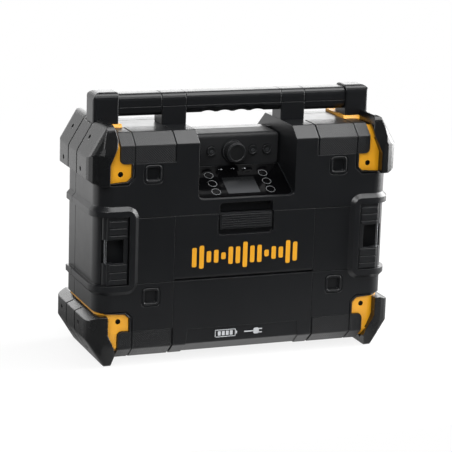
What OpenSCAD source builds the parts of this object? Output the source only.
// Jobsite radio with charger bay, stackable case, corner guards and a fixed carrying handle.
// Millimetres. +Z is up, the front faces -Y, X runs to the right as seen from the front.
// The origin lies on the ground, under the middle of the case.

/* [Housing] */
// Width of the two-part housing
body_w = 418; // [412:1:430]
// Depth of the housing from front face to rear face
body_d = 146; // [142:1:160]
// Height of the housing
body_h = 305.8; // [304:0.1:312]
// Radius of the housing's upright corners
corner_r = 22; // [16:1:24]
// How far the sloped front edge runs back
edge_run = 17.8; // [14:0.1:20]
// How far the sloped front edge drops
edge_drop = 15.2; // [13:0.1:17]
// How far the sloped rear edge runs forward
rear_run = 31; // [24:1:34]
// How far the sloped rear edge drops
rear_drop = 24; // [18:1:28]
// Sideways run of the cut corners under the guards
corner_run = 19; // [15:1:22]
// Height of the cut corners under the guards
corner_drop = 32; // [28:1:36]
// Depth of the front half, up to the seam
front_d = 97.7; // [94:0.1:104]
// Wall thickness of the mouldings
wall = 3; // [2.5:0.1:3.5]
// Width of the seam line between the halves
seam_w = 1.2; // [0.8:0.1:2]
// Depth of the seam line between the halves
seam_depth = 0.8; // [0.5:0.1:1.2]

/* [Corner guards] */
// How far a guard stands out beside the housing
guard_side = 11; // [9:0.5:12]
// How far a guard stands in front of the housing
guard_front = 7; // [5:0.5:9]
// How far the upper guards rise over the housing
guard_rise = 11.2; // [9:0.1:13]
// How far the lower guards reach under the housing
guard_foot = 8.5; // [7.5:0.1:10]
// Distance from the face's upper edge to an upper guard's lower rim
guard_skirt = 51.5; // [50:0.5:53]
// Distance from the face's lower edge to a lower guard's upper rim
guard_skirt_low = 47.4; // [46:0.1:49]
// How far a guard's rim slants towards the housing
guard_rim_rise = 6.4; // [4:0.2:8]
// Distance from the housing's side to a guard's inner edge on the top
guard_lap = 23; // [21:0.5:26]
// Distance from the housing's side to a guard's innermost point, on the slope
guard_nose = 28; // [25:0.5:29]
// Distance from the housing's side to a guard's inner edge on the front
guard_lip = 15; // [12:1:17]
// Radius of the guard's outer upright edge at the front
guard_r = 24; // [20:1:28]
// Radius of the guard's outer upright edge at the rear
guard_rear_r = 17; // [14:1:20]
// Radius of the slanted face's edge at the front
bevel_r = 19; // [15:1:24]
// Radius of the slanted face's edge at the rear
bevel_rear_r = 14; // [12:1:18]
// How far the guard's front leans back from the fold to the crest
guard_lean = 12; // [8:0.5:14]
// Sideways run of the guard's slanted face
bevel_run = 21; // [18:1:23]
// Distance from the face's edge down to the guard's slanted face
bevel_start = 15; // [12:1:17]
// Distance from the guard's crest down to the slanted face's upper edge
crest_drop = 5.4; // [4:0.2:6]
// Radius of an upper guard's crest edges
guard_edge_r = 12; // [8:1:16]
// Radius of a lower guard's crest edges
guard_foot_r = 5; // [3:1:8]
// Radius of the crest towards the slanted face
crest_r = 12; // [6:1:13]
// Width of the grooves that split a guard in three
groove_w = 3; // [2:0.5:4]
// Depth of the grooves that split a guard in three
groove_depth = 2.5; // [1.5:0.5:3.5]
// Radius of the guard screws' heads
guard_screw_r = 2.8; // [2.4:0.1:3]
// Depth of the sunk screw holes in a guard
guard_screw_sink = 3.5; // [2:0.5:4]
// Distance of an upper guard's side screws from the face's edge
guard_screw_high = 35.8; // [33:0.1:38]
// Distance of a lower guard's side screws from the face's edge
guard_screw_low = 29.8; // [27:0.1:32]
// Distance of the slanted screws along the slanted face
guard_screw_up = 24.2; // [20:0.1:28]
// Distance of the front row of guard screws from the front face
guard_screw_front = 42.5; // [38:0.5:46]
// Distance of the rear row of guard screws from the rear face
guard_screw_rear = 26; // [22:0.5:30]
// Distance of the front groove of a guard from the front face
groove_front = 59; // [56:0.5:62]

/* [Corner frames] */
// Thickness of the yellow corner frames
frame_t = 3; // [2.5:0.5:3.5]
// How deep a frame lies under the housing's outer skin
frame_sink = 3.5; // [3:0.5:4]
// Width of a frame's plate, from the housing's side
plate_w = 46.8; // [45:0.1:48]
// Width of a frame's strip, from the housing's side
strip_w = 30.8; // [29:0.1:32]
// Radius of the frame's inner corner, round the grille
frame_r = 6; // [3:0.5:8]
// Lower edge of a frame's plate, from the face's edge
plate_low = 48; // [46:0.5:49]
// Upper edge of a frame's plate, from the face's edge
plate_high = 24; // [23:0.5:26]
// Radius of the frame screws' heads
frame_screw_r = 3.6; // [3:0.1:4]
// Distance of a frame screw from the plate's inner edge
frame_screw_in = 14.8; // [13:0.1:17]
// Distance of a frame screw from the plate's lower edge
frame_screw_up = 10; // [9:0.1:12]
// Height of the foot that carries the handle
foot_h = 3.5; // [2:0.5:5]

/* [Grilles] */
// Gap between the door opening's side and a grille
grille_gap = 2.5; // [2:0.1:3.5]
// Thickness of the grille sheet
grille_t = 2; // [1.6:0.1:2.4]
// How far a grille runs down the front face
grille_front = 24.2; // [22:0.1:26]
// How far a grille runs back over the top
grille_top = 50; // [46:1:54]
// Width of the moulded grooves round the corners
trim_w = 2.4; // [2:0.1:3]
// Distance of the upright groove from the housing's side
trim_side = 50.2; // [49.6:0.1:51]
// Depth of the trim grooves where they cross a grille
grille_line = 1.2; // [0.8:0.1:1.4]

/* [Speakers] */
// Gap between a speaker's flange and the ends of its place
speaker_gap = 4.7; // [4.2:0.1:6]
// Depth of the speaker shelf under the sloped edge
shelf_depth = 27; // [26:0.5:28]
// How far a speaker's flange stands out round its magnet
magnet_in = 9; // [7:0.5:12]
// Thickness of a speaker's magnet
magnet_t = 12; // [8:0.5:14]

/* [Handle] */
// How far the handle's end blocks rise over the housing's top
handle_rise = 45.2; // [42:0.1:50]
// How far rails, posts and grip lie under the end blocks' top
rail_drop = 2.7; // [1:0.1:4]
// How far the end blocks stand out before and behind the rails
end_proud = 1.5; // [0.5:0.1:2.5]
// Depth of the handle's section
handle_d = 32; // [28:1:36]
// Height of the grip's section
grip_h = 28.4; // [26:0.1:29]
// Height of the side rails' section
rail_h = 30.9; // [28:0.1:32]
// Distance of the handle's parting line from the rails' top
line_drop = 17.4; // [15:0.1:19]
// Radius of the rails' lower edges
rail_r = 12; // [8:1:13]
// Height of the sloped edge along the grip's underside
grip_bevel_h = 7.5; // [5:0.5:9]
// Depth of that edge
grip_bevel_d = 6; // [4:0.5:8]
// How far a handle post's inner face stands into the alcove's width
post_lap = 0.8; // [0.3:0.1:2]
// Width of a handle post
post_w = 34.6; // [32:0.1:37]
// Width of a handle end block
end_w = 35; // [33:0.5:37]
// Distance of a handle end block from the housing's side
end_side = 10; // [9:0.5:11]
// Width and depth of the seams between the handle's pieces
handle_seam = 1.2; // [0.6:0.1:1.5]
// Number of finger scallops under the grip
scallops = 4; // [3:1:5]
// Distance between the scallops' middles
scallop_pitch = 23.8; // [22:0.1:26]
// Radius of a scallop
scallop_r = 11; // [9:0.5:11.5]
// Depth of the scallops under the grip's middle
scallop_depth = 1.8; // [1:0.1:3]
// Height of the scallops on the grip's front and back
scallop_rise = 9.6; // [7:0.1:11]

/* [Control alcove] */
// Half the width of the alcove
alcove_x = 69.3; // [69.1:0.1:72]
// Height of the alcove's front rim over the face's lower edge
alcove_rim = 198.4; // [196:0.1:200]
// Distance from the front face to the control panel's face
panel_back = 60.7; // [56:0.1:64]
// Rise of the sloped display from the rim to the panel
display_rise = 32; // [28:0.5:34]
// Height of the control panel
panel_h = 44.4; // [42:0.1:47]
// Wall thickness of the control panel
panel_t = 2.5; // [2:0.1:3]
// Radius of the control panel's edges
panel_r = 5; // [3:0.5:6]
// Thickness of the display window
window_t = 2.5; // [2:0.1:3]
// Thickness of the display module
lcd_t = 3; // [3:0.5:4]
// Width of the display module
lcd_w = 49; // [46:1:52]
// Length of the display module along the slope
lcd_l = 36; // [32:1:38]
// Thickness of the circuit boards
board_t = 1.6; // [1:0.1:2]

/* [Knob and buttons] */
// Radius of the knob at its base
knob_base_r = 16; // [14:0.5:17]
// Radius of the knob at its face
knob_face_r = 12.8; // [11:0.1:13.5]
// How far the knob stands out of the panel
knob_out = 20; // [16:0.5:24]
// Radius of the knob's shaft
shaft_r = 3; // [2.5:0.1:3.5]
// Height of the knob and buttons over the panel's lower edge
control_z = 20.1; // [19:0.1:22]
// Radius of the push buttons
button_r = 6.5; // [5.5:0.1:7]
// Travel of the push buttons
button_travel = 1.2; // [0.8:0.1:1.4]
// Inner buttons' distance from the knob
button_near = 30; // [28:0.5:32]
// Outer buttons' distance from the knob
button_far = 51; // [49:0.5:53]

/* [Door] */
// Distance from the housing's side to the door opening's side
door_side = 108.1; // [107.5:0.1:108.5]
// Door opening's lower edge over the face's lower edge
door_low = 89.3; // [88:0.1:90]
// Height of the door opening
door_h = 89.4; // [88:0.1:90]
// Depth of the door
door_d = 11; // [10.5:0.5:12]
// Gap round the door
door_gap = 0.5; // [0.4:0.1:0.8]
// Radius of the door's rolled lower edge
barrel_r = 5.5; // [5:0.1:6]
// Radius of the hinge pin
hinge_pin_r = 2; // [1.5:0.1:2.2]
// Width of the door latch
latch_w = 74; // [68:1:78]
// Height of the door latch
latch_h = 21.6; // [20:0.1:23]
// Travel of the door latch
latch_travel = 5; // [3:0.5:6]
// Depth of the finger recess over the door
finger_d = 11; // [8:0.5:11]
// Height of the finger recess over the door
finger_h = 14.2; // [12:0.1:15]

/* [Charger bay] */
// Distance from the door opening's side to the charger bay's side
bay_side = 12.9; // [12:0.1:17]
// Height of the charger bay inside
bay_h = 66; // [60:1:67]
// Depth of the charger bay inside
bay_d = 72; // [64:1:76]
// Thickness of the bay's liner
bay_t = 2.5; // [2:0.1:3]

/* [Side latches] */
// Distance from the housing's side to a latch pocket's inner edge
pocket_side = 43.6; // [42:0.1:44]
// Lower end of a latch pocket over the face's lower edge
pocket_low = 89.1; // [87:0.1:91]
// Height of a latch pocket
pocket_h = 92.5; // [90:0.5:94]
// Depth of a latch pocket
pocket_d = 13; // [12:0.5:14]
// Distance of a latch pin from the housing's side
pin_side = 13; // [12.5:0.1:13.5]
// Radius of a latch pin
pin_r = 2; // [1.6:0.1:2.2]
// How far the rims and ribs stand out
rim_h = 5; // [4:0.5:6]
// Flat width of the rims and ribs
rim_w = 8; // [7:0.5:9]

/* [Stacking] */
// How far the stacking recesses lie inwards of the middle between door and latch
stack_in = 0.4; // [0:0.1:2]
// Distance of the stacking recesses from the face's edge
stack_z = 38.5; // [38:0.1:40]
// Lower stacking recesses' height over the face's lower edge
stack_low = 70; // [68:0.1:71]
// Width of a stacking recess
stack_w = 17; // [15:0.5:18]
// Depth of a stacking recess
stack_d = 5; // [4:0.1:5.2]
// Radius of the case screws
case_screw_r = 2; // [1.5:0.1:2.5]

/* [Hidden] */
$fn = 48;
// Radial play of a pin in its bore
fit = 0.05;
// Play between a moving piece and what stands beside it
play = 0.5;
// Overlap that makes a cut run clear of a face
eps = 1;
// Steps of an arc in an outline
arc_steps = 5;

BLACK = "#1d1e21";
SOFT_BLACK = "#151619";
YELLOW = "#e0a31e";
STEEL = "#b9bcc0";
BOARD = "#1d5a37";
GREY = "#4a4c50";

front = -body_d / 2;
rear = body_d / 2;
seam = front + front_d;
base = guard_foot;
top = base + body_h;
mid_z = base + body_h / 2;
half_w = body_w / 2;
face_top = top - edge_drop;
face_low = base + edge_drop;
guard_half = half_w + guard_side;
reach = guard_half + eps;

edge_slope = atan(edge_drop / edge_run);
rear_slope = atan(rear_drop / rear_run);

door_x = half_w - door_side;
plate_x = half_w - plate_w;
strip_x = half_w - strip_w;
trim_x = half_w - trim_side;
grille_x = door_x + grille_gap;
speaker_r = (trim_x - grille_x) / 2 - speaker_gap;
magnet_r = speaker_r - magnet_in;
post_in = alcove_x - post_lap;
post_out = post_in + post_w;
end_out = half_w - end_side;
end_in = end_out - end_w;
bay_w = 2 * (door_x - bay_side);
pocket_x = half_w - pocket_side;
pin_x = half_w - pin_side;
stack_x = (door_x + pocket_x) / 2 - stack_in;

frame_in = frame_sink + frame_t;
trim_low = plate_low + 4.6;
trim_cut = 9;
guard_y = body_d / 2 + guard_front;
guard_in = half_w - guard_lap;
guard_tip = half_w - guard_nose;
guard_rim = half_w - guard_lip;
shank_r = 1.4;
screw_reach = guard_side + frame_in + 2 * wall;
seat = 0.3;
boss_r = 6;
foot_top = top + foot_h;
handle_top = top + handle_rise;
rail_top = handle_top - rail_drop;
grip_under = rail_top - grip_h;
rail_under = rail_top - rail_h;
handle_line = rail_top - line_drop;
foot_x = trim_x + trim_w / 2 + fit;
foot_rear = handle_d / 2 + 25;
grille_back = front + grille_top;

alcove_z = face_low + alcove_rim;
panel_y = front + panel_back;
panel_z = alcove_z + display_rise;
panel_top = panel_z + panel_h;
panel_x = alcove_x - 2;
display_slope = atan(display_rise / panel_back);
display_len = norm([panel_back, display_rise]);
shelf_t = window_t + wall;
control_h = panel_z + control_z;
enc_d = 7;
board_y = panel_y + panel_t + enc_d + 0.3;

door_z0 = face_low + door_low;
door_z1 = door_z0 + door_h;
hinge_y = front + barrel_r;
hinge_z = door_z0 + door_gap + barrel_r;
door_pocket = door_d + 4;
latch_z1 = door_z1 - door_gap;
latch_z0 = latch_z1 - latch_h;
latch_pocket_d = 6;
latch_room = 3;

bay_z0 = door_z0 + (door_h - bay_h) / 2;
bay_front = front + door_pocket + wall;
bay_rear = bay_front + bay_d;

pocket_z0 = face_low + pocket_low;
pocket_z1 = pocket_z0 + pocket_h;
pin_y = front + 4.5;
latch_barrel = 4.5;
pocket_out = pin_x + latch_barrel + play;
rim_base = rim_w + rim_h * 1.1;

CORNERS = [[-1, 1], [1, 1], [-1, -1], [1, -1]];
SIDES = [-1, 1];

// ---- outlines ----

function unit(v) = v / norm(v);
function flat(p) = [p[0], p[1]];
function before(p, i) = p[(i + len(p) - 1) % len(p)];
function after(p, i) = p[(i + 1) % len(p)];

// The points of a rounded corner at b, between a and c; b[2] is the radius
function corner_arc(a, b, c) =
    b[2] <= 0 ? [flat(b)] :
    let (u = unit(flat(a) - flat(b)), w = unit(flat(c) - flat(b)), half = acos(u * w) / 2)
    let (centre = flat(b) + unit(u + w) * b[2] / sin(half))
    let (s = flat(b) + u * b[2] / tan(half) - centre, turn = cross(u, w) < 0 ? 1 : -1)
    [for (i = [0 : arc_steps])
        let (t = turn * (180 - 2 * half) * i / arc_steps)
        centre + [s[0] * cos(t) - s[1] * sin(t), s[0] * sin(t) + s[1] * cos(t)]];

// An outline of [x, y, radius] points with its corners rounded
function rounded(p) = [for (i = [0 : len(p) - 1]) each corner_arc(before(p, i), p[i], after(p, i))];

// A counter-clockwise outline of [x, y, radius] points, moved inwards by t
function inset(p, t) = [for (i = [0 : len(p) - 1])
    let (u = unit(flat(p[i]) - flat(before(p, i))), w = unit(flat(after(p, i)) - flat(p[i])))
    let (n = [-u[1], u[0]], m = [-w[1], w[0]], d = (n + m) * t / (1 + n * m))
    [p[i][0] + d[0], p[i][1] + d[1], p[i][2] > 0 ? max(0, p[i][2] - t * sign(cross(u, w))) : 0]];

// ---- shared forms ----

// Extrudes an outline drawn in X and Z from y0 to y1
module along_y(y0, y1) {
    translate([0, y1, 0]) rotate([90, 0, 0]) linear_extrude(y1 - y0) children();
}

// Extrudes an outline drawn in Y and Z from x0 to x1
module along_x(x0, x1) {
    translate([x0, 0, 0]) rotate([90, 0, 90]) linear_extrude(x1 - x0) children();
}

// A box from its lowest to its highest corner
module span(low, high) {
    translate(low) cube(high - low);
}

module round_rect(w, h, r) {
    square([w - 2 * r, h], center = true);
    square([w, h - 2 * r], center = true);
    for (x = SIDES, y = SIDES) translate([x * (w / 2 - r), y * (h / 2 - r)]) circle(r);
}

module pair() {
    children();
    mirror([1, 0, 0]) children();
}

// Places a piece drawn for the upper right corner; side is -1 or 1, end is 1 for the top
module at_corner(side, end) {
    translate([0, 0, mid_z])
        mirror([side < 0 ? 1 : 0, 0, 0])
        mirror([0, 0, end < 0 ? 1 : 0])
        translate([0, 0, -mid_z]) children();
}

module at_corners() {
    for (c = CORNERS) at_corner(c[0], c[1]) children();
}

// ---- housing envelope ----

side_outline = [
    [front, face_low, 3], [front + edge_run, base, 3], [rear - rear_run, base, 0], [rear, base + rear_drop, 0],
    [rear, top - rear_drop, 0], [rear - rear_run, top, 0], [front + edge_run, top, 3], [front, face_top, 3]];

front_outline = [
    [-half_w, base + corner_drop], [-half_w + corner_run, base],
    [half_w - corner_run, base], [half_w, base + corner_drop],
    [half_w, top - corner_drop], [half_w - corner_run, top],
    [-half_w + corner_run, top], [-half_w, top - corner_drop]];

// The housing's outer shape, moved inwards by t
module envelope(t) {
    intersection() {
        along_x(-reach, reach) polygon(rounded(inset(side_outline, t)));
        translate([0, 0, -eps]) linear_extrude(top + 2 * eps)
            round_rect(body_w - 2 * t, body_d - 2 * t, corner_r - t);
        along_y(front - eps, rear + eps)
            polygon([for (p = inset([for (q = front_outline) [q[0], q[1], 0]], t)) flat(p)]);
    }
}

// What of a region lies outside the envelope moved inwards by t
module skin_cut(t) {
    difference() {
        children();
        envelope(t);
    }
}

module front_half() {
    span([-reach, front - 2 * rim_h, 0], [reach, seam, top + eps]);
}

module rear_half() {
    span([-reach, seam, 0], [reach, rear + eps, top + eps]);
}

// ---- rims and ribs round the side latches ----

stack_step = 1.2;

rim_profile = [[0, -eps], [rim_base, -eps], [rim_base, 0], [rim_w, rim_h], [0, rim_h]];
rim_corner = 3;

// The rim's section with its foot on the housing's skin; x runs away from the pocket
module rim_section() {
    polygon(rim_profile);
}

// One bar of the upper rim, from the front's rounded inner corner back along the side
module rim_upper() {
    straight_x = half_w - corner_r;
    inner_x = pocket_x + rim_corner;
    translate([inner_x, front, pocket_z1]) mirror([0, 1, 0]) rotate([90, 0, 90])
        linear_extrude(straight_x - inner_x) mirror([1, -1, 0]) rim_section();
    translate([straight_x, front + corner_r, pocket_z1]) rotate([0, 0, -90])
        rotate_extrude(angle = 90) translate([corner_r, 0]) mirror([1, -1, 0]) rim_section();
    translate([half_w, front + corner_r, pocket_z1]) rotate([-90, 0, 0]) mirror([0, 1, 0])
        linear_extrude(body_d - 2 * corner_r) mirror([1, -1, 0]) rim_section();
    translate([inner_x, front, pocket_z1 - rim_corner]) rotate([90, 0, 0]) rotate([0, 0, 90])
        rotate_extrude(angle = 90) translate([rim_corner, 0]) rim_section();
}

module rim_side() {
    translate([0, 0, pocket_z0 + rim_corner])
        linear_extrude(pocket_h - 2 * rim_corner)
        translate([pocket_x, front]) mirror([1, 0]) mirror([0, 1]) rim_section();
}

module rims() {
    middle = (pocket_z0 + pocket_z1) / 2;
    pair() {
        rim_upper();
        translate([0, 0, middle]) mirror([0, 0, 1]) translate([0, 0, -middle]) rim_upper();
        rim_side();
    }
}

// ---- corner outlines; x from the middle plane, v upwards from the face's upper edge ----

module corner_outline(points, y0, y1) {
    along_y(y0, y1) translate([0, face_top]) polygon(rounded(points));
}

plate_cut = 6;

frame_points = [
    [plate_x, -plate_low + plate_cut, 0], [plate_x + plate_cut, -plate_low, 0], [guard_half, -plate_low - 4, 0],
    [guard_half, edge_drop + eps, 0], [strip_x, edge_drop + eps, 0], [strip_x, -plate_high, frame_r],
    [plate_x, -plate_high, 0]];

module frame_region(gap) {
    points = inset(frame_points, -gap);
    corner_outline(points, front - eps, 0);
    intersection() {
        corner_outline(points, -eps, rear + eps);
        span([strip_x - gap, -eps, 0], [reach, rear + eps, top + eps]);
    }
}

module foot_region(gap) {
    span([foot_x - gap, grille_back - gap, top - frame_in - gap], [end_out + gap, foot_rear + gap, foot_top]);
}

// Cut for the corner frames in the housing
module frame_recess() {
    at_corners() skin_cut(frame_in) frame_region(0);
    for (side = SIDES) at_corner(side, 1) foot_region(0);
}

// The upright line of a corner's trim, on face, slope and top
module trim_upright(y1) {
    corner_outline([[trim_x - trim_w / 2, -trim_low + trim_cut, 0], [trim_x + trim_w / 2, -trim_low + trim_cut, 0],
        [trim_x + trim_w / 2, edge_drop + eps, 0], [trim_x - trim_w / 2, edge_drop + eps, 0]], front - eps, y1);
}

// The groove that runs round a corner's trim
module trim_groove() {
    x0 = trim_x - trim_w / 2;
    at_corners() skin_cut(groove_depth) {
        trim_upright(grille_back);
        corner_outline([
            [x0, -trim_low + trim_cut, 0], [x0 + trim_cut, -trim_low, 0],
            [guard_half, -trim_low, 0], [guard_half, -trim_low + trim_w, 0],
            [x0 + trim_cut + trim_w / 2, -trim_low + trim_w, 0],
            [x0 + trim_w, -trim_low + trim_cut + trim_w / 2, 0]], front - eps, 0);
        corner_outline([[strip_x, -trim_low, 0], [guard_half, -trim_low, 0],
            [guard_half, -trim_low + trim_w, 0], [strip_x, -trim_low + trim_w, 0]], -eps, rear + eps);
    }
}

// ---- grille and speaker places ----

module grille_region(x0, gap, back) {
    corner_outline([[x0, -grille_front + gap, 0], [strip_x - gap, -grille_front + gap, frame_r],
        [strip_x - gap, edge_drop + eps, 0], [x0, edge_drop + eps, 0]], front - eps, back);
}

// The opening behind a grille
module grille_window() {
    margin = 4;
    corner_outline([[grille_x + margin, -grille_front + margin, 0], [trim_x - margin, -grille_front + margin, 0],
        [trim_x - margin, edge_drop + eps, 0], [grille_x + margin, edge_drop + eps, 0]],
        front - eps, grille_back - margin);
}

// Local axes of a speaker: Z points out through the sloped edge, at a depth under it
module at_slope(depth) {
    translate([(grille_x + trim_x) / 2, front + edge_run / 2, top - edge_drop / 2])
        rotate([edge_slope, 0, 0]) translate([0, 2, -depth]) children();
}

module speaker_shelf() {
    width = trim_x - grille_x + 2;
    intersection() {
        at_slope(shelf_depth + wall) translate([-width / 2, -body_d / 2, 0]) cube([width, body_d, wall]);
        span([0, front, mid_z], [reach, 0, top]);
    }
}

// ---- alcove places ----

module alcove(grow) {
    intersection() {
        along_y(front - eps, seam + eps) polygon(rounded([
            [-alcove_x - grow, alcove_z - grow, 8], [alcove_x + grow, alcove_z - grow, 8],
            [alcove_x + grow, top + eps, 0], [-alcove_x - grow, top + eps, 0]]));
        along_x(-reach, reach) polygon([
            [front - eps, alcove_z - grow - eps * tan(display_slope)],
            [panel_y, panel_z - grow], [seam + eps, panel_z - grow],
            [seam + eps, top + eps], [front - eps, top + eps]]);
    }
}

module alcove_walls() {
    intersection() {
        alcove(shelf_t);
        span([-alcove_x - wall, front, 0], [alcove_x + wall, rear, top]);
    }
}

// Local axes of the sloped display: X across, Y up the slope, Z out of it
module on_display(z) {
    translate([0, front, alcove_z]) rotate([display_slope, 0, 0]) translate([0, 0, z]) children();
}

window_x = alcove_x - 1.4;
window_low = 3;
window_high = display_len - 0.6;
lcd_low = 9;

module window_outline(gap) {
    polygon(rounded([[-window_x + gap, window_low + gap, 9], [window_x - gap, window_low + gap, 9],
        [window_x - gap, window_high - gap, 0], [-window_x + gap, window_high - gap, 0]]));
}

module display_cuts() {
    on_display(-window_t) linear_extrude(window_t + eps) window_outline(0);
    on_display(-shelf_t - eps) translate([-lcd_w / 2 - seat, lcd_low - seat, 0])
        cube([lcd_w + 2 * seat, lcd_l + 2 * seat, shelf_t + eps]);
}

// The low middle of the rear half, behind the control panel; it ends in the same slope as the top
module back_drop(grow) {
    slope_foot = panel_top - (rear_run + eps) * tan(rear_slope);
    along_x(-alcove_x - grow, alcove_x + grow) polygon(rounded(inset([
        [seam - eps, panel_top, 0], [rear - rear_run, panel_top, 0], [rear + eps, slope_foot, 0],
        [rear + eps, top + 2 * eps, 0], [seam - eps, top + 2 * eps, 0]], -grow)));
}

// ---- door and latch places ----

module door_opening(grow, depth) {
    span([-door_x - grow, front - eps, door_z0 - grow], [door_x + grow, front + depth, door_z1 + grow]);
}

module finger_recess(grow) {
    half = latch_w / 2 + 1 + grow;
    along_y(front - eps, front + finger_d + grow) polygon(rounded([
        [-half, door_z1 - eps, 0], [half, door_z1 - eps, 0],
        [half, door_z1 + finger_h + grow, 4], [-half, door_z1 + finger_h + grow, 4]]));
}

module latch_pocket(grow) {
    pair() span([pocket_x - grow, front - 2 * rim_h, pocket_z0 - grow],
        [pocket_out + grow, front + pocket_d + grow, pocket_z1 + grow]);
}

module panel_region(gap) {
    span([-door_x + gap, front - eps, 0], [door_x - gap, front + edge_run + wall * 3 - gap, door_z0 - gap]);
}

module side_grooves() {
    pair() for (z = [door_z0, door_z1])
        span([door_x - eps, front - eps, z - seam_w / 2], [pocket_x - rim_base + 2, front + 1.4, z + seam_w / 2]);
}

// ---- stacking recesses, bosses and screw places ----

module at_stacks(y) {
    for (x = SIDES, z = [face_low + stack_low, face_top - stack_z])
        translate([x * stack_x, y, z]) rotate([-90, 0, 0]) children();
}

BOSSES = [[half_w - 7.5, mid_z - 27], [half_w - 7.5, mid_z + 27], [door_x + 14, top - 8], [door_x + 14, base + 8]];
boss_front = 20;
screw_seat = 9;

module at_bosses(y) {
    for (side = SIDES, p = BOSSES) translate([side * p[0], y, p[1]]) rotate([-90, 0, 0]) children();
}

// Tilt of a guard's slanted face; end is 1 for an upper guard
function crest(end) = edge_drop + (end > 0 ? guard_rise : guard_foot);
function bevel_tilt(end) = atan2(bevel_run, crest(end) - crest_drop + bevel_start);

// Local Z runs up a guard's slanted face, local X out of it
module at_bevel(end) {
    translate([guard_half, 0, face_top - bevel_start]) rotate([0, -bevel_tilt(end), 0]) children();
}

// Local Z points into the housing, from the guard's outer face
module at_guard_screws(end) {
    drop = end > 0 ? guard_screw_high : guard_screw_low;
    for (y = [front + guard_screw_front, rear - guard_screw_rear]) translate([0, y, 0]) {
        translate([guard_half, 0, face_top - drop]) rotate([0, -90, 0]) children();
        at_bevel(end) translate([0, 0, guard_screw_up]) rotate([0, -90, 0]) children();
    }
}

module at_frame_screws() {
    translate([plate_x + frame_screw_in, front + frame_sink, face_top - plate_low + frame_screw_up])
        rotate([-90, 0, 0]) children();
}

module screw_bores() {
    for (c = CORNERS) at_corner(c[0], c[1]) {
        at_guard_screws(c[1]) cylinder(r = shank_r + fit, h = screw_reach);
        at_frame_screws() cylinder(r = shank_r + fit, h = frame_t + 3 * wall);
    }
}

// ---- housing ----

module front_cavity() {
    difference() {
        envelope(wall);
        at_corners() {
            skin_cut(frame_in + wall) frame_region(wall);
            skin_cut(grille_t + wall) grille_region(door_x - wall, -wall, grille_back + wall);
            speaker_shelf();
        }
        for (side = SIDES) at_corner(side, 1) foot_region(wall);
        skin_cut(2 * wall) panel_region(-wall);
        alcove_walls();
        door_opening(wall, door_pocket + wall);
        finger_recess(wall);
        latch_pocket(wall);
        at_stacks(front) linear_extrude(stack_d + wall) square(stack_w + 2 * wall, center = true);
        at_bosses(seam - boss_front) cylinder(r = boss_r, h = boss_front + eps);
    }
}

module front_housing() {
    color(BLACK) difference() {
        intersection() {
            union() {
                envelope(0);
                rims();
            }
            span([-reach, front - 2 * rim_h, 0], [reach, seam, top + eps]);
        }
        front_cavity();
        alcove(0);
        intersection() {
            display_cuts();
            span([-reach, front, 0], [reach, panel_y + window_t * sin(display_slope), top]);
        }
        door_opening(0, door_pocket);
        span([-bay_w / 2, front, bay_z0], [bay_w / 2, bay_front + eps, bay_z0 + bay_h]);
        finger_recess(0);
        latch_pocket(0);
        frame_recess();
        trim_groove();
        at_corners() {
            skin_cut(grille_t) grille_region(door_x, 0, grille_back);
            skin_cut(grille_t + wall + eps) grille_window();
            at_slope(shelf_depth + wall + eps) cylinder(r = speaker_r - 5.5, h = wall + 2 * eps);
        }
        skin_cut(wall) panel_region(0);
        side_grooves();
        at_stacks(front - eps) linear_extrude(eps + stack_step) round_rect(stack_w + 10, stack_w + 10, 6);
        at_stacks(front - eps) linear_extrude(eps + stack_d) round_rect(stack_w, stack_w, 3);
        pair() translate([pin_x, pin_y, pocket_z0 - 8]) cylinder(r = pin_r + fit, h = pocket_h + 16);
        translate([-door_x - wall - eps, hinge_y, hinge_z]) rotate([0, 90, 0])
            cylinder(r = hinge_pin_r + fit, h = 2 * (door_x + wall + eps));
        at_bosses(seam - boss_front + 4) cylinder(r = case_screw_r + fit, h = boss_front);
        screw_bores();
        skin_cut(seam_depth) span([-reach, seam - seam_w / 2, 0], [reach, seam + eps, top + eps]);
    }
}

module rear_cavity() {
    difference() {
        envelope(wall);
        at_corners() skin_cut(frame_in + wall) frame_region(wall);
        for (side = SIDES) at_corner(side, 1) foot_region(wall);
        back_drop(wall);
        at_bosses(seam - eps) cylinder(r = boss_r, h = body_d);
        at_board() rotate([-90, 0, 0]) cylinder(r = 4, h = 20);
    }
}

module rear_housing() {
    color(BLACK) difference() {
        intersection() {
            union() {
                envelope(0);
                rims();
            }
            span([-reach, seam, 0], [reach, rear + eps, top + eps]);
        }
        rear_cavity();
        back_drop(0);
        frame_recess();
        trim_groove();
        at_bosses(seam - eps) cylinder(r = case_screw_r + fit, h = body_d);
        at_bosses(seam + screw_seat) cylinder(r = case_screw_r * 2 + seat, h = body_d);
        at_inlet(rear - wall - eps) linear_extrude(wall + 2 * eps)
            square([inlet_w + 2 * seat, inlet_h + 2 * seat], center = true);
        screw_bores();
        skin_cut(seam_depth) span([-reach, seam - eps, 0], [reach, seam + seam_w / 2, top + eps]);
    }
}

badge_x = door_x - 17;
badge_h = 21;

module lower_panel() {
    color(BLACK) difference() {
        intersection() {
            envelope(0);
            panel_region(door_gap);
        }
        envelope(wall);
        skin_cut(seam_w) along_y(front - eps, rear)
            polygon([[-badge_x, 0], [badge_x, 0], [badge_x - 4, face_low + badge_h], [4 - badge_x, face_low + badge_h]]);
    }
}

// ---- grilles and speakers ----

module grille() {
    color(GREY) difference() {
        intersection() {
            envelope(0);
            grille_region(grille_x, seat, grille_back - seat);
        }
        envelope(grille_t);
        skin_cut(grille_line) trim_upright(grille_back);
    }
}

module grille_top_left() { at_corner(-1, 1) grille(); }
module grille_top_right() { at_corner(1, 1) grille(); }
module grille_bottom_left() { at_corner(-1, -1) grille(); }
module grille_bottom_right() { at_corner(1, -1) grille(); }

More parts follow.
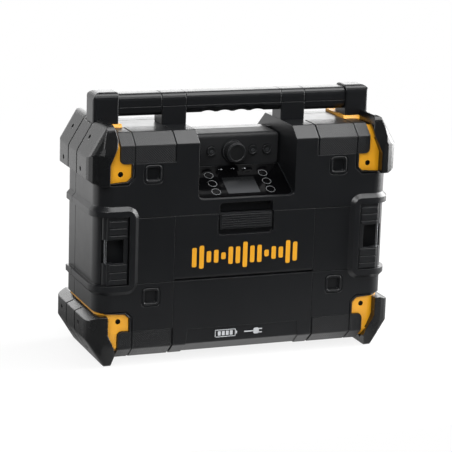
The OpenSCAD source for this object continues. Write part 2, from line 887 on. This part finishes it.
basket_r = speaker_r - 6;
basket_d = 8;
flange_t = 3;
cone_seat = 1.5;

module speaker() {
    color(SOFT_BLACK) at_slope(shelf_depth) rotate_extrude() polygon([
        [0, -basket_d - magnet_t], [magnet_r, -basket_d - magnet_t], [magnet_r, -basket_d], [basket_r, 0],
        [speaker_r, 0], [speaker_r, flange_t], [basket_r + 2, flange_t], [basket_r + 2, cone_seat],
        [basket_r, cone_seat], [basket_r - 5, 2 - basket_d], [0, 2 - basket_d]]);
}

module speaker_top_left() { at_corner(-1, 1) speaker(); }
module speaker_top_right() { at_corner(1, 1) speaker(); }
module speaker_bottom_left() { at_corner(-1, -1) speaker(); }
module speaker_bottom_right() { at_corner(1, -1) speaker(); }

module cone() {
    deep = basket_d / 2;
    color(GREY) at_slope(shelf_depth) rotate_extrude() polygon([
        [0, -deep], [5, -deep], [basket_r - 0.5, cone_seat], [basket_r + 2 - fit, cone_seat],
        [basket_r + 2 - fit, cone_seat + 1], [basket_r - 1, cone_seat + 1], [5, 1 - deep], [0, 2 - deep]]);
}

module cone_top_left() { at_corner(-1, 1) cone(); }
module cone_top_right() { at_corner(1, 1) cone(); }
module cone_bottom_left() { at_corner(-1, -1) cone(); }
module cone_bottom_right() { at_corner(1, -1) cone(); }

// ---- corner guards and frames ----

rim_flat = 15;
crest_flat = 6;
rim_turn = 24.5;
nose_v = 4;
fold_v = 11;

// A guard's solid form, moved inwards by t
module guard_body(end, t) {
    high = crest(end);
    skirt = end > 0 ? guard_skirt : guard_skirt_low;
    edge_r = end > 0 ? guard_edge_r : guard_foot_r;
    upper = guard_half - bevel_run;
    intersection() {
        corner_outline(inset([
            [guard_rim, -skirt, 0], [guard_half - rim_flat, -skirt, 0], [guard_half, -skirt + guard_rim_rise, 0],
            [guard_half, -bevel_start, 12], [upper, high - crest_drop, end > 0 ? 6 : 0],
            [upper - (end > 0 ? crest_flat : crest_drop * tan(bevel_tilt(end))), high, end > 0 ? crest_r : guard_foot_r],
            [guard_in, high, 0], [guard_tip, nose_v, 0], [guard_rim, rim_turn - guard_skirt_low, 0]], t),
            -guard_y, guard_y);
        along_x(0, reach) translate([0, face_top]) polygon(rounded(inset([
            [-guard_y, -skirt - wall, 0], [guard_y, -skirt - wall, 0],
            [guard_y, high, edge_r], [guard_lean - guard_y, high, edge_r], [-guard_y, -fold_v, 2 * guard_r]], t)));
        linear_extrude(handle_top) polygon(rounded(inset([
            [guard_tip, -guard_y, 9], [guard_half, -guard_y, guard_r],
            [guard_half, guard_y, guard_rear_r], [guard_tip, guard_y, 9]], t)));
        at_bevel(end) linear_extrude(4 * guard_skirt, center = true) polygon(rounded(inset([
            [-guard_half, -guard_y, 0], [0, -guard_y, bevel_r],
            [0, guard_y, bevel_rear_r], [-guard_half, guard_y, 0]], t)));
    }
}

// The wedge cut away under a guard's inner edge, so that it stands free of the strip on the slope
module guard_undercut() {
    translate([0, front, face_top]) rotate([edge_slope, 0, 0]) along_y(-fold_v, norm([edge_run, edge_drop]) - 1)
        polygon([[0, -frame_sink - eps], [guard_tip + 5, -frame_sink - eps], [guard_tip, 9], [0, 9]]);
}

GROOVES = [front + groove_front, seam];

module guard(end) {
    color(BLACK) difference() {
        guard_body(end, 0);
        envelope(frame_sink);
        difference() {
            envelope(0);
            frame_region(-seat);
        }
        guard_undercut();
        difference() {
            for (y = GROOVES) span([0, y - groove_w / 2, 0], [reach, y + groove_w / 2, handle_top]);
            guard_body(end, groove_depth);
        }
        at_guard_screws(end) translate([0, 0, -guard_r]) {
            cylinder(r = guard_screw_r + seat, h = guard_r + guard_screw_sink);
            cylinder(r = shank_r + fit, h = 2 * guard_r);
        }
        if (end > 0) {
            foot_region(0);
            block_y = handle_d / 2 + end_proud + seat;
            span([0, -block_y, top - frame_in], [end_out + seat, block_y, handle_top]);
        }
    }
}

module guard_top_left() { at_corner(-1, 1) guard(1); }
module guard_top_right() { at_corner(1, 1) guard(1); }
module guard_bottom_left() { at_corner(-1, -1) guard(-1); }
module guard_bottom_right() { at_corner(1, -1) guard(-1); }

module corner_frame(end) {
    color(YELLOW) difference() {
        union() {
            difference() {
                intersection() {
                    envelope(frame_sink);
                    frame_region(-seat);
                }
                envelope(frame_in);
            }
            if (end > 0) along_x(foot_x + seat, end_out) polygon([
                [grille_back, top - frame_in], [foot_rear - seat, top - frame_in],
                [foot_rear - seat, foot_top], [grille_back + 4, foot_top], [grille_back, foot_top - 4]]);
        }
        at_guard_screws(end) cylinder(r = shank_r + fit, h = screw_reach);
        at_frame_screws() {
            translate([0, 0, -eps]) cylinder(r = shank_r + fit, h = 12);
            translate([0, 0, -eps]) cylinder(r = frame_screw_r + fit, h = eps + frame_t / 2);
        }
    }
}

module corner_frame_top_left() { at_corner(-1, 1) corner_frame(1); }
module corner_frame_top_right() { at_corner(1, 1) corner_frame(1); }
module corner_frame_bottom_left() { at_corner(-1, -1) corner_frame(-1); }
module corner_frame_bottom_right() { at_corner(1, -1) corner_frame(-1); }

module frame_screws() {
    color(STEEL) at_corners() at_frame_screws() {
        translate([0, 0, frame_t / 2 - 1]) difference() {
            cylinder(r = frame_screw_r, h = 1);
            translate([0, 0, -eps]) cylinder(r = frame_screw_r / 2, h = eps + 0.5, $fn = 6);
        }
        cylinder(r = shank_r, h = frame_t + wall);
    }
}

module guard_screws() {
    color(STEEL) for (c = CORNERS) at_corner(c[0], c[1]) at_guard_screws(c[1]) {
        translate([0, 0, guard_screw_sink - 1.5]) cylinder(r = guard_screw_r, h = 1.5);
        translate([0, 0, guard_screw_sink - 1]) cylinder(r = shank_r, h = screw_reach - guard_screw_sink - wall);
    }
}

// ---- handle ----

line_w = 0.7;
line_depth = 0.4;

// The handle's section from z0 up, with lower edges of radius r
handle_half = handle_d / 2;
handle_r = 9;
grip_foot = [
    [-handle_half, grip_under + grip_bevel_h, 3], [grip_bevel_d - handle_half, grip_under, 3],
    [handle_half - grip_bevel_d, grip_under, 3], [handle_half, grip_under + grip_bevel_h, 3]];
rail_foot = [[-handle_half, rail_under, rail_r], [handle_half, rail_under, rail_r]];
post_foot = [[-handle_half, top, 0], [handle_half, top, 0]];

module handle_outline(foot, t) {
    crown = [[handle_half, rail_top, handle_r], [-handle_half, rail_top, handle_r]];
    polygon(rounded(inset(concat(foot, crown), t)));
}

// A length of the handle between two seams
module handle_length(x0, x1, foot) {
    difference() {
        union() {
            along_x(x0 + handle_seam / 2, x1 - handle_seam / 2) handle_outline(foot, 0);
            along_x(x0, x1) handle_outline(foot, handle_seam);
        }
        difference() {
            span([x0, -handle_d, handle_line - line_w / 2], [x1, handle_d, handle_line + line_w / 2]);
            along_x(x0, x1) handle_outline(foot, line_depth);
        }
    }
}

// Each finger scallop runs down from the front and from the back to the grip's middle
module handle_grip() {
    fall = atan((scallop_rise - scallop_depth) / handle_half);
    color(BLACK) difference() {
        handle_length(-post_in, post_in, grip_foot);
        for (i = [0 : scallops - 1], turn = [0, 180]) rotate([0, 0, turn])
            translate([(i - (scallops - 1) / 2) * scallop_pitch, -handle_half, grip_under + scallop_rise])
                rotate([-fall, 0, 0]) translate([0, 0, -scallop_r])
                    rotate([90, 0, 0]) cylinder(r = scallop_r, h = 2 * handle_d, center = true, $fn = 96);
    }
}

module handle_post() {
    color(BLACK) handle_length(post_in, post_out, post_foot);
}

module handle_post_left() { mirror([1, 0, 0]) handle_post(); }
module handle_post_right() { handle_post(); }

module handle_rail() {
    color(BLACK) handle_length(post_out, end_in, rail_foot);
}

module handle_rail_left() { mirror([1, 0, 0]) handle_rail(); }
module handle_rail_right() { handle_rail(); }

module handle_end() {
    half = handle_d / 2 + end_proud;
    color(BLACK) intersection() {
        along_x(end_in, end_out) polygon(rounded([
            [-half, foot_top, 0], [half, foot_top, 0], [half, handle_top, 9], [-half, handle_top, 9]]));
        along_y(-handle_d, handle_d) polygon(rounded([
            [end_in, foot_top, 0], [end_out, foot_top, 0], [end_out, handle_top, 10], [end_in, handle_top, 2]]));
        linear_extrude(handle_top) polygon(rounded([
            [end_in, -half, 2], [end_out, -half, 5], [end_out, half, 5], [end_in, half, 2]]));
    }
}

module handle_end_left() { mirror([1, 0, 0]) handle_end(); }
module handle_end_right() { handle_end(); }

// ---- control panel and display ----

BUTTONS = [-button_far, -button_near, button_near, button_far];
bushing_r = 4.5;
bushing_out = 2;
bore_gap = 0.3;
board_x = panel_x - 5.3;
board_margin = 2;

module at_panel(x, y) {
    translate([x, y, control_h]) rotate([-90, 0, 0]) children();
}

module panel_box(t) {
    intersection() {
        along_y(panel_y + t, seam + (t > 0 ? eps : 0)) polygon(rounded(inset([
            [-panel_x, panel_z, panel_r], [panel_x, panel_z, panel_r],
            [panel_x, panel_top, panel_r], [-panel_x, panel_top, panel_r]], t)));
        along_x(-reach, reach) polygon(rounded(inset([[panel_y, panel_z, 0], [seam + body_d, panel_z, 0],
            [seam + body_d, panel_top, 0], [panel_y, panel_top, panel_r + 1]], t)));
    }
}

module control_panel() {
    color(BLACK) difference() {
        union() {
            difference() {
                panel_box(0);
                panel_box(panel_t);
            }
            for (x = SIDES, z = [panel_z + 6, panel_top - 8])
                translate([x * (board_x - 4), panel_y + panel_t / 2, z]) rotate([-90, 0, 0])
                    cylinder(r = 3, h = board_y - panel_y - panel_t / 2);
        }
        for (x = BUTTONS) at_panel(x, panel_y - eps) cylinder(r = button_r + bore_gap, h = panel_t + 2 * eps);
        at_panel(0, panel_y - eps) cylinder(r = bushing_r + bore_gap, h = panel_t + 2 * eps);
    }
}

module display_window() {
    color(SOFT_BLACK) on_display(-window_t) linear_extrude(window_t) window_outline(fit);
}

module display_module() {
    color(STEEL) on_display(-window_t - lcd_t) translate([-lcd_w / 2, lcd_low, 0]) cube([lcd_w, lcd_l, lcd_t]);
}

module display_board() {
    color(BOARD) on_display(-shelf_t - board_t) translate([8 - window_x, lcd_low + 3, 0])
        cube([2 * window_x - 16, lcd_l + 10, board_t]);
}

flange_gap = 0.3;
flange_out = 1.5;
button_flange = 1;
stem_l = 0.5;
switch_y = panel_y + panel_t + flange_gap + button_flange + stem_l + button_travel + 0.3;

module control_board() {
    color(BOARD) {
        span([-board_x, board_y, panel_z + board_margin + panel_t], [board_x, board_y + board_t, panel_top - 4]);
        for (x = BUTTONS) at_panel(x, switch_y) linear_extrude(board_y - switch_y + eps) square(6, center = true);
    }
}

module rotary_encoder() {
    color(STEEL) difference() {
        union() {
            at_panel(0, board_y - enc_d) linear_extrude(enc_d) square(14, center = true);
            at_panel(0, panel_y - bushing_out) cylinder(r = bushing_r, h = bushing_out + panel_t + flange_out);
        }
        at_panel(0, panel_y - bushing_out - eps) cylinder(r = shaft_r + fit, h = board_y - panel_y + bushing_out - 1);
    }
}

shaft_in = board_y - 2.5;
shaft_out = panel_y - knob_out + 4;

module encoder_shaft() {
    color(STEEL) at_panel(0, shaft_out) cylinder(r = shaft_r, h = shaft_in - shaft_out);
}

flutes = 30;
knob_collar = 4.5;

module fluted(r, deep) {
    polygon([for (i = [0 : 2 * flutes - 1])
        let (a = 180 * i / flutes, rr = i % 2 == 0 ? r : r - deep) [rr * cos(a), rr * sin(a)]]);
}

module tuning_knob() {
    back = panel_y - play;
    face = panel_y - knob_out;
    color(GREY) translate([0, 0, control_h]) rotate([90, 0, 0]) difference() {
        union() {
            translate([0, 0, -back]) cylinder(r1 = knob_base_r, r2 = knob_base_r - 1, h = knob_collar);
            translate([0, 0, -back + knob_collar - eps])
                linear_extrude(back - face - knob_collar - 1.5 + eps) fluted(knob_face_r + 1.2, 0.7);
            translate([0, 0, -face - 2.5]) cylinder(r1 = knob_face_r + 0.4, r2 = knob_face_r - 0.6, h = 2.5);
        }
        translate([0, 0, -face - 1]) cylinder(r1 = knob_face_r - 2.6, r2 = knob_face_r - 1.8, h = 2);
        translate([0, 0, -back - eps]) cylinder(r = bushing_r + 1, h = bushing_out + eps);
        translate([0, 0, -back - eps]) cylinder(r = shaft_r + fit, h = back - shaft_out + eps + 0.1);
    }
}

module button(x) {
    color(GREY) {
        at_panel(x, panel_y - button_out) difference() {
            cylinder(r = button_r, h = button_out + panel_t + flange_gap + button_flange);
            translate([0, 0, -eps]) cylinder(r1 = button_r - 1, r2 = button_r - 2, h = eps + 0.5);
        }
        at_panel(x, panel_y + panel_t + flange_gap) {
            cylinder(r = button_r + flange_out, h = button_flange);
            cylinder(r = 2.5, h = button_flange + stem_l);
        }
    }
}

button_out = 2.2;

module button_far_left() { button(BUTTONS[0]); }
module button_left() { button(BUTTONS[1]); }
module button_right() { button(BUTTONS[2]); }
module button_far_right() { button(BUTTONS[3]); }

// ---- door ----

door_back = front + door_d;
door_lip = 2.5;
latch_front = front + 0.5;
latch_t = 2.5;
track_in = latch_front + latch_t;
track_out = front + latch_pocket_d;
rail_x = latch_w / 2 + latch_room + 1.6;
spring_x = 22;
spring_z0 = latch_z0 + 4;
spring_z1 = latch_z1 - 6;
latch_low = latch_z0 - latch_travel - 2.8;

module latch_well(grow, y1) {
    half = latch_w / 2 + latch_room + grow;
    along_y(front - eps, y1) polygon(rounded([
        [-half, latch_low - grow, 5], [half, latch_low - grow, 5], [half, door_z1 + eps, 0], [-half, door_z1 + eps, 0]]));
}

module door_body(grow) {
    span([-door_x + door_gap + grow, front + grow, hinge_z + grow], [door_x - door_gap - grow, door_back, latch_z1 - grow]);
}

module door() {
    color(BLACK) difference() {
        union() {
            difference() {
                door_body(0);
                difference() {
                    span([-door_x + door_gap + door_lip, front + wall, hinge_z + barrel_r],
                        [door_x - door_gap - door_lip, door_back + eps, latch_z1 - door_lip]);
                    latch_well(4, door_back + 2 * eps);
                }
                latch_well(0, track_out);
                pair() span([0, track_in + 0.3, latch_low + 3], [rail_x + 0.4, track_out - 0.4, latch_z1 + eps]);
            }
            translate([-door_x + door_gap, hinge_y, hinge_z]) rotate([0, 90, 0])
                cylinder(r = barrel_r, h = 2 * (door_x - door_gap));
            pair() translate([spring_x, 0, spring_z0]) mirror([0, 0, 1])
                span([-4, track_in + 0.3, 0], [4, track_out + eps, 2]);
        }
        translate([-door_x, hinge_y, hinge_z]) rotate([0, 90, 0]) cylinder(r = hinge_pin_r + fit, h = 2 * door_x);
    }
}

RIBS = 6;

module door_latch() {
    half = latch_w / 2;
    pitch = (latch_h - 3) / RIBS;
    color(BLACK) {
        span([-half, latch_front, latch_z0], [half, track_in, latch_z1]);
        for (i = [0 : RIBS - 1])
            span([-half + 2, latch_front - 1, latch_z0 + 1.5 + (i + 0.25) * pitch],
                [half - 2, latch_front + eps, latch_z0 + 1.5 + (i + 0.75) * pitch]);
        pair() {
            span([half - 5, track_in - eps, latch_z0 + 3], [half - 1, track_out - 0.7, latch_z1 - 2]);
            span([half - 2, track_in + 0.6, latch_z0 + 3], [rail_x, track_out - 0.7, latch_z1 - 2]);
            span([spring_x - 4, track_in - eps, spring_z1], [spring_x + 4, track_out - 0.3, spring_z1 + 2]);
        }
    }
}

coil_r = 1;
coil_wire = 0.28;
coil_turns = 7;
coil_steps = 14;

// A round-wire helix standing on the ground plane
module coil(length) {
    sides = 6;
    n = coil_turns * coil_steps;
    rise = (length - 2 * coil_wire) / n;
    points = [for (i = [0 : n], j = [0 : sides - 1])
        let (a = 360 * i / coil_steps, b = 360 * j / sides, r = coil_r + coil_wire * cos(b))
        [r * cos(a), r * sin(a), coil_wire + rise * i + coil_wire * sin(b)]];
    walls = [for (i = [0 : n - 1], j = [0 : sides - 1])
        let (k = (j + 1) % sides)
        [i * sides + j, i * sides + k, (i + 1) * sides + k, (i + 1) * sides + j]];
    ends = [[for (j = [sides - 1 : -1 : 0]) j], [for (j = [0 : sides - 1]) n * sides + j]];
    polyhedron(points, concat(walls, ends));
}

module latch_spring() {
    color(STEEL) pair() translate([spring_x, (track_in + track_out) / 2, spring_z0]) coil(spring_z1 - spring_z0);
}

module door_hinge_pin() {
    length = 2 * (door_x + wall - 0.4);
    color(STEEL) translate([-length / 2, hinge_y, hinge_z]) rotate([0, 90, 0]) cylinder(r = hinge_pin_r, h = length);
}

module door_seal() {
    lip = 3;
    color(SOFT_BLACK) along_y(door_back + seat, front + door_pocket) difference() {
        translate([-bay_w / 2 - 1 - lip, bay_z0 - 1 - lip]) square([bay_w + 2 + 2 * lip, bay_h + 2 + 2 * lip]);
        translate([-bay_w / 2 - 1, bay_z0 - 1]) square([bay_w + 2, bay_h + 2]);
    }
}

// ---- charger bay and electrics ----

module charger_bay() {
    color(GREY) difference() {
        span([-bay_w / 2 - bay_t, bay_front, bay_z0 - bay_t], [bay_w / 2 + bay_t, bay_rear + bay_t, bay_z0 + bay_h + bay_t]);
        span([-bay_w / 2, bay_front - eps, bay_z0], [bay_w / 2, bay_rear, bay_z0 + bay_h]);
    }
}

dock_x0 = -bay_w / 2 + 8;
dock_w = 70;
dock_d = 50;
dock_h = 12;

// The battery slides in from the front, between the dock's two rails
module battery_dock() {
    slot = dock_w - 16;
    color(SOFT_BLACK) translate([dock_x0, bay_rear - dock_d, bay_z0]) difference() {
        cube([dock_w, dock_d, dock_h]);
        translate([(dock_w - slot) / 2, -eps, 3]) cube([slot, dock_d - 6, dock_h]);
        translate([(dock_w - slot) / 2 - 3, -eps, 5]) cube([slot + 6, dock_d - 6, 3.5]);
    }
}

socket_w = 52;
socket_h = 30;
socket_side = 18;
socket_t = 4;

// The sockets' plate hangs on the bay's rear wall, to the right of the dock
module socket_panel() {
    color(SOFT_BLACK) translate([bay_w / 2 - socket_side - socket_w / 2, bay_rear - socket_t, bay_z0 + bay_h / 2])
        difference() {
            span([-socket_w / 2, 0, -socket_h / 2], [socket_w / 2, socket_t, socket_h / 2]);
            translate([0, -eps, 0]) rotate([-90, 0, 0]) {
                for (x = SIDES) translate([x * socket_w / 5, -socket_h / 4]) linear_extrude(socket_t - 1 + eps)
                    square([13, 5.5], center = true);
                translate([0, socket_h / 4]) cylinder(r = 4, h = socket_t - 1 + eps);
            }
        }
}

board_w = 150;
board_h = 80;
board_rear = rear - 12;
board_z = mid_z + 20;

module at_board() {
    for (x = SIDES, z = SIDES) translate([x * (board_w / 2 - 6), board_rear, board_z + z * (board_h / 2 - 6)]) children();
}

module main_board() {
    y = board_rear - board_t;
    color(BOARD) {
        span([-board_w / 2, y, board_z - board_h / 2], [board_w / 2, board_rear, board_z + board_h / 2]);
        span([-55, y - 14, board_z - 20], [-15, y + board_t / 2, board_z + 16]);
        span([10, y - 6, board_z - 12], [34, y + board_t / 2, board_z + 12]);
        for (z = [-20, 0, 20]) translate([54, y + board_t / 2, board_z + z]) rotate([90, 0, 0]) cylinder(r = 6, h = 16);
    }
}

supply = [120, 34, 42];
supply_z = base + 36;

module power_supply() {
    color(STEEL) difference() {
        translate([-supply[0] / 2, rear - wall - supply[1], supply_z]) cube(supply);
        for (i = [-4 : 4]) translate([i * 11 - 2.5, rear - wall - supply[1] - eps, supply_z + 8])
            cube([5, 3 + eps, supply[2] - 16]);
    }
}

inlet_x = 59 - half_w;
inlet_z = base + 54;
inlet_w = 28;
inlet_h = 21;

module at_inlet(y) {
    translate([inlet_x, y, inlet_z]) rotate([-90, 0, 0]) children();
}

module mains_inlet() {
    pin = [2, 11, 4];
    color(SOFT_BLACK) {
        difference() {
            union() {
                at_inlet(rear) linear_extrude(2) round_rect(inlet_w + 8, inlet_h + 8, 3);
                at_inlet(rear - 20) linear_extrude(20 + eps) square([inlet_w, inlet_h], center = true);
            }
            at_inlet(rear - 16) linear_extrude(20) square([inlet_w - 5, inlet_h - 5], center = true);
        }
        for (p = [[-7, -2], [0, 2], [7, -2]])
            translate([inlet_x + p[0] - pin[0] / 2, rear - 17, inlet_z + p[1] - pin[2] / 2]) cube(pin);
    }
}

// ---- side latches ----

latch_gap = 0.8;
window_half = 16;
rib_count = 5;

module latch_profile() {
    plate_y = pin_y - 7;
    polygon(rounded([[pocket_x + eps, plate_y, 1.5], [pin_x, plate_y, 3], [pin_x, pin_y + 2.5, 0],
        [pin_x - 9, pin_y + 2.5, 0], [pin_x - 9, plate_y + 4, 0], [pocket_x + 5, plate_y + 4, 0],
        [pocket_x + 5, pin_y + 5, 1], [pocket_x + eps, pin_y + 5, 1]]));
    translate([pin_x, pin_y]) circle(r = latch_barrel);
}

module side_latch() {
    z0 = pocket_z0 + latch_gap;
    z1 = pocket_z1 - latch_gap;
    middle = (z0 + z1) / 2;
    pitch = ((z1 - z0) / 2 - window_half) / (rib_count + 1);
    color(BLACK) difference() {
        union() {
            translate([0, 0, z0]) linear_extrude(z1 - z0) latch_profile();
            for (end = SIDES, i = [1 : rib_count])
                span([pocket_x + 6, pin_y - 8, middle + end * (window_half + i * pitch) - 1],
                    [pin_x - 3, pin_y - 6, middle + end * (window_half + i * pitch) + 1]);
        }
        span([pocket_x + 7.4, front - 3 * rim_h, middle - window_half], [reach, 0, middle + window_half]);
        translate([pin_x, pin_y, z0 - eps]) cylinder(r = pin_r + fit, h = z1 - z0 + 2 * eps);
    }
}

module side_latch_left() { mirror([1, 0, 0]) side_latch(); }
module side_latch_right() { side_latch(); }

module latch_pins() {
    color(STEEL) pair() translate([pin_x, pin_y, pocket_z0 - 7.5]) cylinder(r = pin_r, h = pocket_h + 15);
}

// ---- rear feet and case screws ----

foot_w = 26;

module rear_feet() {
    color(BLACK) at_stacks(rear) difference() {
        linear_extrude(guard_front) round_rect(foot_w, foot_w, 7);
        translate([0, 0, guard_front - 3]) cylinder(r = 5, h = 4);
    }
}

module case_screws() {
    color(STEEL) at_bosses(seam + screw_seat) {
        cylinder(r = case_screw_r * 2, h = 3);
        translate([0, 0, -screw_seat - boss_front + 6]) cylinder(r = case_screw_r, h = screw_seat + boss_front - 5);
    }
}

front_housing();
rear_housing();
lower_panel();
grille_top_left();
grille_top_right();
grille_bottom_left();
grille_bottom_right();
speaker_top_left();
speaker_top_right();
speaker_bottom_left();
speaker_bottom_right();
cone_top_left();
cone_top_right();
cone_bottom_left();
cone_bottom_right();
guard_top_left();
guard_top_right();
guard_bottom_left();
guard_bottom_right();
corner_frame_top_left();
corner_frame_top_right();
corner_frame_bottom_left();
corner_frame_bottom_right();
frame_screws();
guard_screws();
handle_grip();
handle_rail_left();
handle_rail_right();
handle_post_left();
handle_post_right();
handle_end_left();
handle_end_right();
control_panel();
display_window();
display_module();
display_board();
control_board();
rotary_encoder();
encoder_shaft();
tuning_knob();
button_far_left();
button_left();
button_right();
button_far_right();
door();
door_latch();
latch_spring();
door_hinge_pin();
door_seal();
charger_bay();
battery_dock();
socket_panel();
main_board();
power_supply();
mains_inlet();
side_latch_left();
side_latch_right();
latch_pins();
rear_feet();
case_screws();
